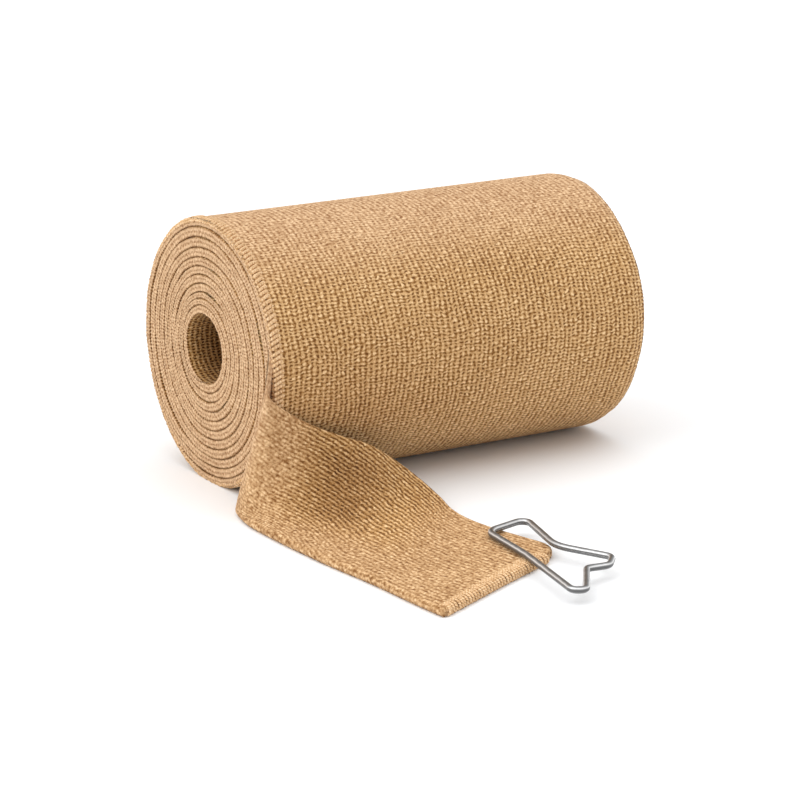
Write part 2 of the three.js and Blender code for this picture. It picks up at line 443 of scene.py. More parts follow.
def strip_columns(cells, wale_count):
    """The strip's section: how far across from the left, how far in, how much side, and the wale there.

    A negative place counts left of the left edge in edge reaches, and one above 1 right of the right edge.
    """
    columns = []
    for share in EDGE_SHARES[::-1]:
        columns.append((-arch(share), share, arch(share), -0.5 - EDGE_WALES * share))
    count = int(wale_count * cells) if cells else PLAIN_COLUMNS
    for share in np.linspace(0, 1, count + 1)[1:-1]:
        columns.append((share, 0.0, 0.0, -0.5 + share * wale_count))
    for share in EDGE_SHARES:
        columns.append((1 + arch(share), share, arch(share), wale_count - 0.5 + EDGE_WALES * share))
    for share in BACK_SHARES:
        columns.append((share, 1.0, 0.0, -0.5 - EDGE_WALES + share * (wale_count + EDGE_WALES)))
    return np.array(columns).T


def layer_gap(length, turns, layer):
    """The space under a layer, uneven along the cloth and wider at the notch."""
    gap = LAYER_GAP * (1 + wobble(GAP_WAVES, length))
    gap = np.clip(gap, *GAP_RANGE) * smooth(layer / GAP_LAYER)
    notch = NOTCH_GAP * smooth((turns - NOTCH_TURN + NOTCH_REACH) / NOTCH_REACH)
    return gap + notch * slope(turns, NOTCH_TURN + NOTCH_REACH, -NOTCH_SLOPE)


def strip_sides(length):
    """Where the cloth's left and right edges lie: a little off the roll's ends, and uneven."""
    shift = wobble(SHIFT_WAVES, length) + wobble(SHORT_SHIFT_WAVES, length)
    left = ROLL_LEFT + EDGE_REACH + LEFT_INSET + LEFT_BOW * smooth(shift + 0.5) + LEFT_SHIFT * shift
    right = ROLL_RIGHT - RIGHT_INSET - EDGE_REACH - wobble(RIGHT_WAVES, length)
    return left[:, None], right[:, None]


def seam_shade(length, turns, inward, side, random):
    """Painted shade on the cloth's edge: dark at the seams between layers, and less so where they lie level.
    """
    seam = 1 - smooth(np.minimum(inward, 1 - inward) / SEAM_SHARE)
    seam = seam * ((side > 0) | (inward == 1))
    level = np.cos(TAU * turns)[:, None] ** 2
    depth = SEAM_DEPTH - SEAM_LEVEL_LOSS * level + wobble(SEAM_WAVES, length)[:, None]
    return 1 - np.clip(depth + SEAM_RANDOM * random, 0, 1) * seam


def core_shade(x):
    """Painted shade on the core hole's wall: light at its two mouths, and dark further in."""
    deep = slope(x, ROLL_LEFT, CORE_LIGHT_REACH) * slope(x, ROLL_RIGHT, -CORE_LIGHT_REACH)
    return CORE_MOUTH_SHADE - CORE_SHADE_LOSS * deep


def right_curl(x, outside):
    """How far the cloth's right edge curls in, most on the outside of the roll."""
    curl = slope(x, ROLL_RIGHT - RIGHT_CURL_REACH, RIGHT_CURL_REACH) ** 2
    return RIGHT_CURL_DROP * curl * (outside / ROLL_RADIUS) ** 2


def strip_wear_and_sheen(turns, full):
    """How much wear and painted sheen the cloth has at each ring: most on the roll's top."""
    height = 1 - np.cos(TAU * turns)
    return WORN_LEAST + TOP_WEAR_AND_SHEEN * slope(height, TOP_WEAR_AND_SHEEN_FROM, 2 - TOP_WEAR_AND_SHEEN_FROM)[:, None] * full


def winding_strip(name, start, stop, cells, relief):
    """A stretch of the wound cloth as one closed band, with two rings for each course.

    cells is the number of points on the outer face for each wale, or 0 for a plain face.
    """
    turns, courses = even_turns(start, stop)
    length = courses * COURSE
    outside, inside = layer_walls(turns)
    layer = outside - inside
    thickness = np.maximum(layer - layer_gap(length, turns, layer), THINNEST)[:, None]
    outside = outside[:, None]
    left, right = strip_sides(length)
    wale_count = int((ROLL_RIGHT - ROLL_LEFT - 2 * EDGE_REACH) / WALE)
    place, inward, side, wales = (row[None] for row in strip_columns(cells, wale_count))
    x = left + np.clip(place, 0, 1) * (right - left)
    x = x + EDGE_REACH * (np.minimum(place, 0) + np.maximum(place - 1, 0))
    full = np.ones_like(x)
    outer = (inward == 0) * full
    course = courses[:, None] * full
    wale = wales * full
    selvage = side ** 0.5 * full
    # Wear, with a paleness on the roll's top that is painted sheen.
    wear_and_sheen = strip_wear_and_sheen(turns, full)
    local = np.random.default_rng(STRIP_SEED)
    # Painted shade: dark at the seams, under the loops and in the core hole.
    shade = seam_shade(length, turns, inward, side, local.random((len(turns), 1)))
    under_loops = slope(x, ROLL_LEFT + LOOP_BAND, -LOOP_BAND_SLOPE) * outer * bool(relief)
    shade = shade * (1 - LOOP_BAND_SHADE * under_loops)
    on_core = (inward == 1) * (side == 0) * (turns[:, None] < CORE_TURNS)
    shade = np.where(on_core, core_shade(x), shade)
    random = local.uniform(-1, 1, x.shape)
    on_face = outer * (1 - selvage)
    bend = wobble(BEND_WAVES, course * COURSE, wale * WALE)
    x = x + (POINT_RANDOM * random * bool(relief) + bend) * on_face
    knitted = knit_height(wale, course) - RELIEF_MIDDLE + RELIEF_RANDOM * random
    lift = relief * (1 - wear_and_sheen) * knitted * on_face - LOOP_BAND_DROP * under_loops
    bead = (BEAD_HEIGHT * np.cos(TAU * (course + BEAD_LEAN * inward)) + BEAD_RANDOM * random) * side
    x = x + np.sign(x) * bead
    radius = outside - inward * thickness + lift + EDGE_RANDOM * local.uniform(-1, 1, x.shape) * side
    radius = radius - right_curl(x, outside)
    slide = wobble(SLIDE_WAVES, wale * WALE, course * COURSE) + SLIDE_RANDOM * random * bool(relief)
    turn = turns[:, None] + slide * outer / (TAU * radius)
    points = winding_point(turn, radius, x)
    piece = band_object(name, points, np.stack([wale, course, selvage], -1))
    set_vectors(piece, "cloth", points)
    set_values(piece, "shade", shade)
    set_values(piece, "wear_and_sheen", wear_and_sheen * outer)
    return piece


# The loose end

def catmull(points, u):
    """A centripetal Catmull-Rom curve through points, read at u from 0 to 1 in equal spans."""
    points = np.asarray(points, float)
    first = 2 * points[0] - points[1]
    last = 2 * points[-1] - points[-2]
    padded = np.vstack([first, points, last])
    place = np.asarray(u, float) * (len(points) - 1)
    span = np.minimum(place.astype(int), len(points) - 2)
    t = (place - span)[:, None]
    p0, p1, p2, p3 = (padded[span + k] for k in range(4))
    spans = (p1 - p0, p2 - p1, p3 - p2)
    d0, d1, d2 = (np.linalg.norm(vector, axis=1, keepdims=True) ** 0.5 for vector in spans)
    d1 = np.where(d1 < TINY, 1.0, d1)
    d0 = np.where(d0 < TINY, d1, d0)
    d2 = np.where(d2 < TINY, d1, d2)
    t1 = ((p1 - p0) / d0 - (p2 - p0) / (d0 + d1) + (p2 - p1) / d1) * d1
    t2 = ((p2 - p1) / d1 - (p3 - p1) / (d1 + d2) + (p3 - p2) / d2) * d1
    c2 = -3 * p1 + 3 * p2 - 2 * t1 - t2
    c3 = 2 * p1 - 2 * p2 + t1 + t2
    return p1 + t1 * t + c2 * t * t + c3 * t ** 3


def sheet_middle(u, v):
    """The loose end's middle surface at pairs of u, along the cloth, and v, from its low to its top edge."""
    low, foot, shoulder, top = (catmull(line, u) for line in zip(*SHEET_SECTIONS))
    v = np.asarray(v)[..., None]
    return (1 - v) ** 3 * low + 3 * (1 - v) ** 2 * v * foot + 3 * (1 - v) * v * v * shoulder + v ** 3 * top


def sheet_frame(u, v):
    """Points, normals and outward directions of the middle surface at arrays u and v of one shape."""
    shape = u.shape
    u, v = u.reshape(-1), v.reshape(-1)
    ahead = sheet_middle(np.minimum(u + SHEET_STEP, 1), v)
    behind = sheet_middle(np.maximum(u - SHEET_STEP, 0), v)
    right = sheet_middle(u, np.minimum(v + SHEET_STEP, 1))
    left = sheet_middle(u, np.maximum(v - SHEET_STEP, 0))
    normal = unit(np.cross(ahead - behind, right - left))
    across = unit(right - left)
    return tuple(a.reshape(*shape, 3) for a in (sheet_middle(u, v), normal, across))


def corner_trim(u):
    """Share of the width that is left at u, where the top corner of the cut end is rounded."""
    one = np.ones_like(u)
    tops = sheet_middle(u, one)
    width = np.linalg.norm(tops - sheet_middle(u, 0 * one), axis=1)
    from_cut = np.linalg.norm(tops - sheet_middle(np.array([1.0]), np.array([1.0])), axis=1)
    short = np.clip(CORNER_RADIUS - from_cut, 0, CORNER_RADIUS)
    return 1 - (CORNER_RADIUS - np.sqrt(np.maximum(CORNER_RADIUS ** 2 - short ** 2, 0))) / width


def sheet_profile():
    """The loose end's closed section.

    Each point has v, how far it is up the normal, how far out, if it is on the front, and its wales past v.
    """
    profile = [(v, 1.0, 0.0, 1.0, 0.0) for v in np.linspace(0, 1, SHEET_COLUMNS)]
    bends = np.linspace(0, math.pi, SHEET_EDGE_STEPS)[1:-1]
    arc = CLOTH_THICKNESS / 2 / WALE
    profile += [(1.0, math.cos(angle), math.sin(angle), 0.0, angle * arc) for angle in bends]
    profile += [(v, -1.0, 0.0, 0.0, 0.0) for v in np.linspace(1, 0, SHEET_BACK_COLUMNS)]
    profile += [(0.0, -math.cos(angle), -math.sin(angle), 0.0, (angle - math.pi) * arc) for angle in bends]
    return np.array(profile).T


def sheet_knit(u, v, along, over, edge_wales):
    """The wale and the course at each point of the loose end, both a little uneven."""
    wales = TAIL_RIBS * v + edge_wales + TAIL_RIB_DRIFT * slope(u, *DRIFT_SLOPE)
    wales = wales + wobble(RIB_WAVES, along, over) + wobble(SHORT_RIB_WAVES, along, over)
    courses = along / COURSE + wobble(COURSE_WAVES, along, over) + wobble(SHORT_COURSE_WAVES, along, over)
    return wales, courses


def sheet_wear_and_sheen(u, v, along, over):
    """How calm and pale the knit is, as at a selvage, and its wear and painted sheen at each point of the
    loose end.
    """
    # The neck is pale and calm like a selvage, partly its own colour and partly a painted highlight where
    # its fold faces the light.
    neck = 1 - slope(u, *NECK_SLOPE)
    low_edge = LOW_EDGE_CALM * slope(over, *LOW_EDGE_SLOPE)
    cut_edge = CUT_EDGE_CALM * slope(along, *CUT_EDGE_SLOPE)
    ribbed = between(u, RIBBED_ALONG) * slope(v, *RIBBED_ACROSS)
    wear_and_sheen = TAIL_WEAR_AND_SHEEN + NECK_WEAR_AND_SHEEN * neck - RIBBED_WEAR_AND_SHEEN_LOSS * ribbed
    return np.maximum(np.maximum(low_edge, cut_edge), neck), wear_and_sheen


def sheet_shade(u, v, along, over, to_top, front):
    """Painted shade on the loose end: darker in its hollow, and under the loops over its cut end."""
    hollow = between(u, HOLLOW_ALONG) * between(v, HOLLOW_ACROSS)
    corner = slope(over, *LOW_CORNER_SLOPE) * slope(to_top, *TOP_CORNER_SLOPE)
    under_loops = slope(along, *LOOPS_SLOPE) * corner
    return (1 - LOOPS_SHADE * under_loops) * (1 - HOLLOW_SHADE * hollow * front)


def sheet_surface(u, along, middle, normal_part, across_part, lift):
    """The loose end's outside: thinned and sunk at its root, and rounded but filled out at its cut end."""
    point, normal, across = middle
    half = CLOTH_THICKNESS / 2
    near = np.clip(along / (half * CUT_ROUNDING), 0, 1)
    rounding = np.sqrt(np.clip(1 - (1 - near) ** 2, CUT_LEAST, 1))
    root = 1 - smooth(u / ROOT_SHARE)
    thin = np.where(normal_part > 0, 1 - ROOT_THINNING * root, 1.0)
    points = point + normal * (half * rounding * normal_part * thin + lift)[..., None]
    points = points + across * (half * across_part * rounding)[..., None]
    points[..., 0] += ROOT_SINK * (1 - smooth(u / (ROOT_SINK_SHARE * ROOT_SHARE)))
    forward = unit(point[-1] - point[-3])
    points = points + CUT_FILL * forward[None] * smooth(1 - along / CUT_FILL_REACH)[..., None]
    points[..., 2] = np.maximum(points[..., 2], 0)
    return points


def loose_end():
    """The loose end as one closed band of rings across the cloth, from the roll's rim to the cut end."""
    rings = np.linspace(0, 1, SHEET_RINGS)
    place, normal_part, across_part, front, edge_wales = (row[None] for row in sheet_profile())
    u = np.repeat(rings[:, None], place.shape[1], 1)
    v = place * corner_trim(rings)[:, None]
    middle = sheet_frame(u, v)
    point = middle[0]
    step = np.linalg.norm(np.diff(point, axis=0), axis=2)
    along = np.concatenate([np.zeros((1, place.shape[1])), np.cumsum(step, 0)])
    along = along[-1:] - along
    width = np.linalg.norm(point[:, 0] - point[:, SHEET_COLUMNS - 1], axis=1)[:, None]
    over = v * width
    wales, courses = sheet_knit(u, v, along, over, edge_wales)
    selvage, wear_and_sheen = sheet_wear_and_sheen(u, v, along, over)
    knitted = TAIL_RELIEF * (knit_height(wales, TAIL_ROWS * courses) - RELIEF_MIDDLE)
    lift = knitted * front * (1 - selvage) * (1 - wear_and_sheen)
    random = np.random.default_rng(TAIL_SEED).uniform(-1, 1, lift.shape)
    lift = lift + TAIL_RANDOM * random * (front + np.abs(across_part))
    points = sheet_surface(u, along, middle, normal_part, across_part, lift)
    knit = np.stack(np.broadcast_arrays(wales, courses, selvage), -1)
    piece = band_object("bandage_loose_end", points, knit)
    set_vectors(piece, "cloth", points)
    # Painted shade in its hollow and under the cut end's loops.
    set_values(piece, "shade", sheet_shade(u, v, along, over, (1 - place) * width, front))
    set_values(piece, "wear_and_sheen", wear_and_sheen)
    return piece


# The overlocked loops

def tube_faces(base, count, sides):
    """Quads between count rings of points from number base on, and a cap at each end."""
    faces = []
    for k in range(count - 1):
        for j in range(sides):
            a = base + k * sides + j
            b = base + k * sides + (j + 1) % sides
            faces.append((a, b, b + sides, a + sides))
    faces.append(tuple(base + j for j in range(sides))[::-1])
    faces.append(tuple(base + (count - 1) * sides + j for j in range(sides)))
    return faces


def tube_mesh(paths, radius, sides):
    """Points, faces and (along, round, number) values of closed tubes along paths."""
    points, faces, values = [], [], []
    angles = np.arange(sides) * TAU / sides
    for number, path in enumerate(paths):
        path = np.asarray(path, float)
        tangent = unit(np.gradient(path, axis=0))
        side = unit(np.cross(tangent, TUBE_SIDE))
        up = np.cross(tangent, side)
        distance = path_distance(path)
        faces += tube_faces(len(points), len(path), sides)
        for k, centre in enumerate(path):
            for angle in angles:
                points.append(centre + radius * (math.cos(angle) * side[k] + math.sin(angle) * up[k]))
                values.append((distance[k], angle / TAU, number))
    return points, faces, values


def yarn_object(name, paths, radius):
    """Yarn along paths, kept above the floor."""
    points, faces, values = tube_mesh(paths, radius, YARN_SIDES)
    points = np.maximum(points, (-np.inf, -np.inf, 0.0))
    piece = mesh_object(name, points, faces)
    set_vectors(piece, "yarn", values)
    return piece


def rim_path(share, reach):
    """X and radius of a loop's yarn, from the outer turn's side over its edge and along its face."""
    quarter = RIM_BEND * math.pi / 2
    distance = share * (quarter + reach)
    bend = np.clip(distance / RIM_BEND, 0, math.pi / 2)
    x = ROLL_LEFT + RIM_INSET + RIM_BEND * (1 - np.cos(bend)) + np.maximum(distance - quarter, 0)
    x = x + RIM_START_SINK * slope(share, *RIM_START_SLOPE)
    radius = ROLL_RADIUS - RIM_DEPTH - RIM_BEND * (1 - np.sin(bend))
    return x, radius - RIM_END_SINK * slope(share, *RIM_END_SLOPE)


def rim_stitches():
    """The overlocked loops round the left rim of the outer turn, each bent down over the edge."""
    count = int(TAU * ROLL_RADIUS / LOOP_PITCH)
    paths = []
    for k in range(count):
        turns = (k + rng.uniform(*RIM_PLACE_RANGE)) / count
        reach = rng.uniform(*RIM_REACH_RANGE)
        drop = rng.uniform(*RIM_DROP_RANGE) * LOOP_PITCH / (TAU * ROLL_RADIUS)
        sink = rng.uniform(*RIM_SINK_RANGE)
        share = np.linspace(0, 1, RIM_POINTS)
        x, radius = rim_path(share, reach)
        turn = turns + drop * (1 - np.sin(share * math.pi / 2))
        paths.append(winding_point(turn, radius + sink, x))
    return yarn_object("rim_overlock", paths, RIM_YARN)


def cut_loop(v, reach, lean):
    """One strand over the cut end, from underneath, round the end and back over the face."""
    end = sheet_middle(np.array([1.0]), np.array([v]))[0]
    forward = unit(end - sheet_middle(np.array([CUT_BACK]), np.array([v]))[0])
    path = []
    for share in np.linspace(0, 1, CUT_POINTS):
        bend = (min(share / CUT_BEND_SHARE, 1.0) - 0.5) * math.pi
        run = max(share - CUT_BEND_SHARE, 0.0) / (1 - CUT_BEND_SHARE)
        at = np.array([1.0 - (CUT_START + reach * run) / SHEET_LENGTH])
        bulge = CUT_BULGE * math.sin(math.pi * share) / SHEET_WIDTH
        place = np.clip(v + bulge - lean * run ** CUT_LEAN_POWER, CUT_PLACE_LEAST, 1)
        point, normal, _ = sheet_frame(at, np.array([place]))
        height = CUT_HEIGHT * math.sin(bend) - CUT_DROP * run ** 2
        path.append(point[0] + normal[0] * height + forward * CUT_REACH * math.cos(bend))
    return path


def cut_stitches():
    """The overlocked loops over the cut end, two strands each."""
    trim = float(corner_trim(np.array([1.0]))[0])
    count = int(SHEET_WIDTH * trim / CUT_PITCH)
    lowest, highest = CUT_PLACES
    paths = []
    for k in range(count):
        middle = (k + 0.5 + rng.uniform(*CUT_PLACE_RANGE)) / count * trim
        reach = rng.uniform(*CUT_RUN_RANGE)
        lean = rng.uniform(*CUT_LEAN_RANGE) * CUT_PITCH / SHEET_WIDTH
        for offset in CUT_STRANDS:
            place = middle + (offset - CUT_BULGE / 2 + rng.uniform(*CUT_STRAND_RANGE)) / SHEET_WIDTH
            v = np.clip(place, lowest, highest * trim)
            paths.append(cut_loop(v, reach + rng.uniform(*CUT_RUN_SPREAD), lean))
    return yarn_object("cut_end_overlock", paths, CUT_YARN)


# The clip: its corners seen from above, each with the radius it is bent to.
WIRE_RADIUS = 0.75
WIRE_CLEARANCE = 0.3
WIRE_LEVEL = CLOTH_THICKNESS + WIRE_CLEARANCE + WIRE_RADIUS
WIRE_SIDES = 20
WIRE_RINGS = 360
CLIP_CORNERS = [
    ((-20.8, -71.7), 3.6),
    ((-9.0, -68.6), 1.9),
    ((-13.8, -87.3), 9),
    ((-7.8, -99.5), 2.2),
    ((-11.5, -103.6), 2.2),
    ((-16.8, -102.9), 1.5),
    ((-24.4, -113.9), 2),
    ((-26.9, -112.6), 1.6),
    ((-22.4, -89), 30),
]
BEND_STEPS = 10
BEND_LIMIT = 0.49


def rounded_corners():
    """The clip's corners, each turned into points round its bend."""
    corners = [np.array(at, float) for at, _ in CLIP_CORNERS]
    points = []
    for k, (corner, (_, bend)) in enumerate(zip(corners, CLIP_CORNERS)):
        before = corners[k - 1] - corner
        after = corners[(k + 1) % len(corners)] - corner
        to_before, to_after = np.linalg.norm(before), np.linalg.norm(after)
        half = math.acos(before @ after / to_before / to_after) / 2
        reach = min(bend / math.tan(half), BEND_LIMIT * to_before, BEND_LIMIT * to_after)
        enter = corner + before / to_before * reach
        leave = corner + after / to_after * reach
        for t in np.linspace(0, 1, BEND_STEPS):
            weights = np.array([(1 - t) ** 2, 2 * (1 - t) * t * math.sin(half), t * t])
            points.append(weights @ np.array([enter, corner, leave]) / weights.sum())
    return np.array(points)


def clip_line():
    """The wire's centre line in even steps, and how far along it each of its points is."""
    line = rounded_corners()
    closed = np.vstack([line, line[:1]])
    distance = path_distance(closed)
    even = np.linspace(0, distance[-1], WIRE_RINGS + 1)[:-1]
    x = np.interp(even, distance, closed[:, 0])
    y = np.interp(even, distance, closed[:, 1])
    return np.stack([x, y, np.full_like(x, WIRE_LEVEL)], 1), even


def wire_clip():
    """The clip as one closed ring of round wire."""
    line, even = clip_line()
    tangent = unit(np.roll(line, -1, 0) - np.roll(line, 1, 0))
    up = np.array([0.0, 0.0, 1.0])
    side = np.cross(tangent, up)
    angles = np.arange(WIRE_SIDES) * TAU / WIRE_SIDES
    spokes = np.cos(angles)[None, :, None] * side[:, None] + np.sin(angles)[None, :, None] * up
    rings = line[:, None] + WIRE_RADIUS * spokes
    values = np.stack(np.broadcast_arrays(even[:, None], angles[None] / TAU, 0.0), -1)
    return band_object("bent_wire_clip", rings, values, closed=True)


# The materials

class Nodes:
    """A short way to write a material's node tree."""

    def __init__(self, name):
        self.material = bpy.data.materials.new(name)
        self.material.use_nodes = True
        self.tree = self.material.node_tree
        self.shader = self.tree.nodes["Principled BSDF"]

    def add(self, kind, values=(), **settings):
        node = self.tree.nodes.new(kind)
        for key, value in settings.items():
            setattr(node, key, value)
        for k, value in enumerate(values):
            self.feed(node.inputs[k], value)
        return node

    def feed(self, socket, value):
        if isinstance(value, bpy.types.NodeSocket):
            self.tree.links.new(value, socket)
        elif value is not None:
            socket.default_value = value

    def math(self, operation, a, b=None, c=None):
        return self.add("ShaderNodeMath", [a, b, c], operation=operation).outputs[0]

    def plus(self, a, b):
        return self.math("ADD", a, b)

    def minus(self, a, b):
        return self.math("SUBTRACT", a, b)

    def times(self, a, b):
        return self.math("MULTIPLY", a, b)

    def scaled(self, value, size, start):
        """start plus size times value."""
        return self.math("MULTIPLY_ADD", value, size, start)

    def below(self, value):
        return self.math("FLOOR", value)

    def nearest(self, value):
        return self.math("FLOOR", self.plus(value, 0.5))

    def vectors(self, name):
        return self.add("ShaderNodeAttribute", attribute_name=name).outputs["Vector"]

    def values(self, name):
        return self.add("ShaderNodeAttribute", attribute_name=name).outputs["Fac"]

    def split(self, vector):
        return self.add("ShaderNodeSeparateXYZ", [vector]).outputs

    def join(self, x, y, z=0.0):
        return self.add("ShaderNodeCombineXYZ", [x, y, z]).outputs[0]

    def noises(self, vector, scale, detail=2.0):
        """Outputs of a noise: one value as Fac, and three others as Color."""
        node = self.add("ShaderNodeTexNoise")
        self.feed(node.inputs["Vector"], vector)
        node.inputs["Scale"].default_value = scale
        node.inputs["Detail"].default_value = detail
        return node.outputs

    def noise(self, vector, scale, detail=2.0):
        return self.noises(vector, scale, detail)["Fac"]

    def random(self, x, y):
        """A random value of 0 to 1 for each pair of whole numbers x and y."""
        node = self.add("ShaderNodeTexWhiteNoise", noise_dimensions="2D")
        self.feed(node.inputs["Vector"], self.join(x, y))
        return node.outputs["Value"]

    def grains(self, vector, scale, softness):
        """Distance from the middle of the nearest grain, with about scale grains to a step of the vector."""
        node = self.add("ShaderNodeTexVoronoi", feature="SMOOTH_F1")
        self.feed(node.inputs["Vector"], vector)
        node.inputs["Scale"].default_value = scale
        node.inputs["Smoothness"].default_value = softness
        return node.outputs["Distance"]

    def wave(self, value):
        """0 to 1 and back once for each whole step of value, 1 at whole numbers."""
        return self.scaled(self.math("COSINE", self.times(value, TAU)), 0.5, 0.5)

    def smooth_step(self, value, low, high):
        node = self.add("ShaderNodeMapRange", interpolation_type="SMOOTHSTEP")
        self.feed(node.inputs["Value"], value)
        node.inputs["From Min"].default_value = low
        node.inputs["From Max"].default_value = high
        return node.outputs["Result"]

    def ramp(self, factor, stops):
        """The colour at factor, between stops of a place and a colour each."""
        node = self.add("ShaderNodeValToRGB", [factor])
        while len(node.color_ramp.elements) < len(stops):
            node.color_ramp.elements.new(0.5)
        for element, (place, colour) in zip(node.color_ramp.elements, stops):
            element.position = place
            element.color = (*colour, 1)
        return node.outputs["Color"]

    def mix(self, factor, a, b, blend="MIX"):
        node = self.add("ShaderNodeMix", data_type="RGBA", blend_type=blend)
        self.feed(node.inputs[0], factor)
        self.feed(node.inputs[6], a)
        self.feed(node.inputs[7], b)
        return node.outputs[2]

    def bump(self, height, distance, strength=1.0, normal=None):
        """A normal that is bent by a height of 0 to 1, which stands for distance millimetres."""
        node = self.add("ShaderNodeBump")
        node.inputs["Strength"].default_value = strength
        node.inputs["Distance"].default_value = distance * MM
        self.feed(node.inputs["Height"], height)
        if normal is not None:
            self.feed(node.inputs["Normal"], normal)
        return node.outputs["Normal"]


def linear(red, green, blue):
    """A screen colour of 0 to 255 as the linear colour that nodes use."""
    shares = (red / 255, green / 255, blue / 255)
    return tuple(((c + 0.055) / 1.055) ** 2.4 if c > 0.04 else c / 12.92 for c in shares)


# The knit's colours, from the bottom of a hole to the top of a stitch, which paint shade into the holes and
# a highlight onto the stitches, and those of its calm parts and of parts paled by wear and painted sheen.
KNIT_STOPS = [
    (0.06, linear(80, 42, 8)),
    (0.36, linear(152, 107, 50)),
    (0.66, linear(205, 161, 104)),
    (0.98, linear(250, 214, 162)),
]
PALE_STOPS = [
    (0.2, linear(150, 104, 66)),
    (0.8, linear(227, 192, 155)),
]
# SHADE_COLOUR is what painted shade mixes in.
SHADE_COLOUR = (0.34, 0.22, 0.12, 1)
SHEEN_COLOUR = (1.0, 0.9, 0.78, 1)

# The pairs below: a noise has its scale and its detail, and a bump its distance in millimetres and its
# strength. A sway, slip, height, tone, shift or roughness has the size and the start it is scaled by.

# How the knit's ribs and rows sway, and the patches in it.
SWAY_SCALE = 0.7
WALE_SWAY = (0.85, -0.42)
COURSE_SWAY = (0.8, -0.4)
SLIP_STRETCH = (1.1, 0.3)
COURSE_SLIP = (1.3, -0.65)
PATCH_SCALE = 0.06

# How the knit's heights and tones are put together. An edge is where a rib or a row starts and is full.
RIB_EDGE = (0.05, 0.8)
ROW_EDGE = (0.04, 0.76)
NET_BLEND = 0.25
NET_HEIGHT = (0.74, 0.06)
GRAIN_SOFTNESS = 0.3
GRAIN_HEIGHT = (-1.5, 1.42)
FIBRE_NOISE = (2.6, 3.0)
FIBRE_HEIGHT = (0.66, -0.33)
CALM_LEVEL = 0.64
CALM_SHARE = 0.35
PATCH_TONE = (0.16, -0.08)
STITCH_TONE = (0.3, -0.15)
SELVAGE_PALENESS = 0.85
KNIT_BUMP = 0.29
FINE_NOISE = (5.5, 2.0)
FINE_BUMP = (0.05, 0.6)

# The three knits. rib_depth and row_depth are how much a rib or a row sinks between two crossings,
# row_height is a row's height there, and row_pitch is the number of courses from row to row. Wear makes a
# part paler, as a painted sheen, by the value whose key ends in pale, and gives it loose grains instead of
# the net, with grain of them to a millimetre.
OUTER_KNIT = {
    "wear_and_sheen_pale": 1.6, "grain": 1.25, "rib_depth": 0.64, "row_height": 0.94, "row_depth": 0.66,
    "row_pitch": 1.0, "sheen": 0.1,
}
INNER_KNIT = {
    "wear_and_sheen_pale": 0.0, "grain": 1.1, "rib_depth": 0.5, "row_height": 0.96, "row_depth": 0.5,
    "row_pitch": 1.0, "sheen": 0.05,
}
TAIL_KNIT = {
    "wear_and_sheen_pale": 0.8, "grain": 1.3, "rib_depth": 0.4, "row_height": 0.5, "row_depth": 0.5,
    "row_pitch": 1.9, "sheen": 0.08,
}

# The yarn of the loops, with its twists to a millimetre.
YARN_TWIST = 1.6
YARN_NOISE = (1.7, 2.0)
TWIST_SHARE = 0.4
YARN_TONE = (1.2, -0.3)
YARN_BUMP = 0.12
YARN_STOPS = [
    (0.1, linear(184, 140, 92)),
    (0.45, linear(222, 182, 136)),
    (0.9, linear(250, 216, 174)),
]

# The wire's greys, from its underside at 0 to its top at 1, which paint a highlight on its upper flank and
# shade on its underside and along its top, its marks of drawing along it and its smudges.
WIRE_PAINTED_LIGHT_GREYS = ((0.05, 60), (0.2, 130), (0.42, 84), (0.65, 118), (0.8, 240), (0.9, 160), (0.985, 88))
DRAWN_STRETCH = (0.35, 60.0)
DRAWN_NOISE = (1.0, 3.0)
DRAWN_ROUGHNESS = (0.24, 0.2)
DRAWN_BUMP = (0.012, 0.5)
SMUDGE_STRETCH = 4.0
SMUDGE_NOISE = (0.5, 2.0)
SMUDGE_SHIFT = (0.1, -0.05)


def stretched(n, x, y, stretch):
    """A flat vector of x and y, each times its own part of stretch."""
    return n.join(n.times(x, stretch[0]), n.times(y, stretch[1]))


def swayed(n, wales, courses, row_pitch):
    """The rib and the row at each point, uneven because the knit sways and its rows slip."""
    sway_w, sway_c, _ = n.split(n.noises(n.join(wales, courses), SWAY_SCALE)["Color"])
    ribs = n.plus(wales, n.scaled(sway_w, *WALE_SWAY))
    slip = n.noise(stretched(n, wales, courses, SLIP_STRETCH), 1.0, 1.0)
    rows = n.plus(n.math("DIVIDE", courses, row_pitch), n.scaled(sway_c, *COURSE_SWAY))
    return ribs, n.plus(rows, n.scaled(slip, *COURSE_SLIP))


def knit_net(n, ribs, rows, patch, look):
    """Height of a net of uneven ribs along the cloth and rows across it, with small holes between."""
    rib_wave, row_wave = n.wave(ribs), n.wave(rows)
    weak_rib = n.times(n.random(n.nearest(ribs), n.below(rows)), n.minus(1.0, row_wave))
    weak_row = n.times(n.random(n.below(ribs), n.nearest(rows)), n.minus(1.0, rib_wave))
    rib_loss = n.times(weak_rib, n.scaled(patch, look["rib_depth"], look["rib_depth"] * 0.5))
    row_loss = n.times(weak_row, n.scaled(patch, -look["row_depth"], look["row_depth"] * 1.5))
    rib = n.times(n.smooth_step(rib_wave, *RIB_EDGE), n.minus(1.0, rib_loss))
    row = n.times(n.smooth_step(row_wave, *ROW_EDGE), n.minus(look["row_height"], row_loss))
    return n.math("SMOOTH_MAX", rib, row, NET_BLEND)


